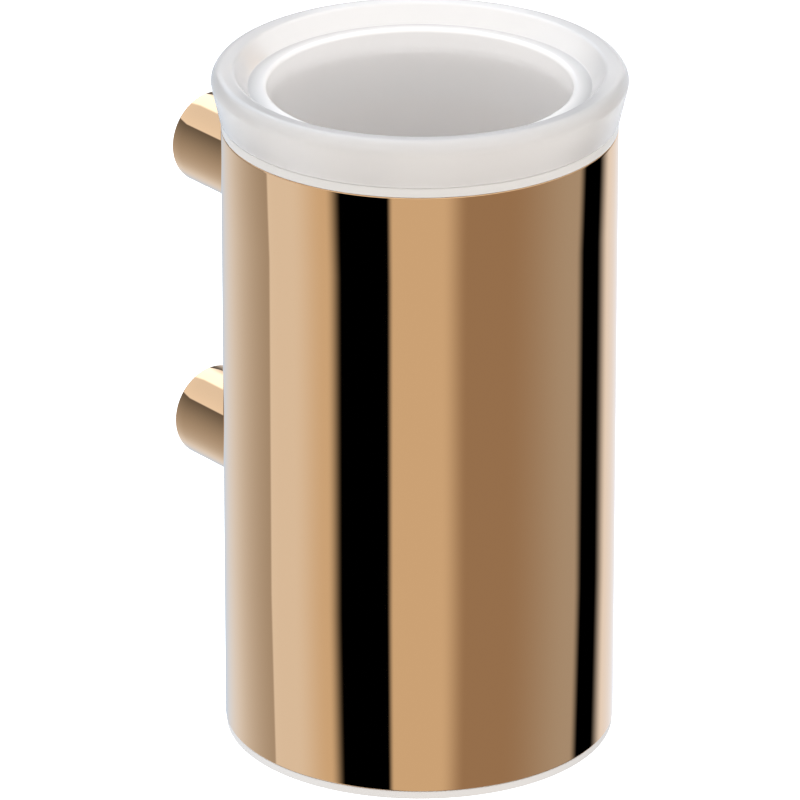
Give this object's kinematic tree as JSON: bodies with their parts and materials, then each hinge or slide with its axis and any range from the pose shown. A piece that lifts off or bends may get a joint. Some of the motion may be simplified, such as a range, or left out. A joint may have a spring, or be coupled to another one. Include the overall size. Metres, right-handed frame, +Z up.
{
  "type": "wall-mounted bathroom holder",
  "caption": "Round wall-mounted bathroom holder: a polished red-gold metal sleeve on two wall posts with a thick lift-out frosted-glass insert.",
  "frame": {"origin": "on the wall plane, midway between the two wall screw holes", "axes": "+Y into the wall, +Z up, +X to the right of someone facing the wall"},
  "size_m": [0.1002, 0.1349, 0.1723],
  "materials": {
    "red_gold": "mirror-polished red-gold coating",
    "frosted_glass": "satin, etched all over",
    "seat_plastic": "translucent white, satin",
    "cap_plastic": "white, fine satin",
    "silicone": "soft grey silicone",
    "bare_brass": "turned, uncoated",
    "stainless": "turned stainless steel",
    "cast_zinc": "machined zinc"
  },
  "bodies": {
    "wall_bases": {"upper_wall_spigot": "cast_zinc", "lower_wall_spigot": "cast_zinc"},
    "holder": {"outer_sleeve": "red_gold", "seat_ring": "seat_plastic", "base_cap": "cap_plastic", "foot_cushion": "silicone", "upper_post": "red_gold", "upper_sleeve_boss": "bare_brass", "upper_lock_washer": "stainless", "upper_cap_screw": "stainless", "lower_post": "red_gold", "lower_sleeve_boss": "bare_brass", "lower_lock_washer": "stainless", "lower_cap_screw": "stainless"},
    "glass": {"glass_insert": "frosted_glass"},
    "upper_grub": {"upper_grub_screw": "stainless"},
    "lower_grub": {"lower_grub_screw": "stainless"}
  },
  "joints": [
    {"name": "holder_pull_off", "type": "slide", "parent": "wall_bases", "child": "holder", "axis": [0, -1, 0], "range_m": [0, 0.025]},
    {"name": "glass_lift_out", "type": "slide", "parent": "holder", "child": "glass", "axis": [0, 0, 1], "range_m": [0, 0.165]},
    {"name": "upper_grub_back_out", "type": "slide", "parent": "holder", "child": "upper_grub", "axis": [0, 0, -1], "range_m": [0, 0.002]},
    {"name": "lower_grub_back_out", "type": "slide", "parent": "holder", "child": "lower_grub", "axis": [0, 0, -1], "range_m": [0, 0.002]}
  ]
}
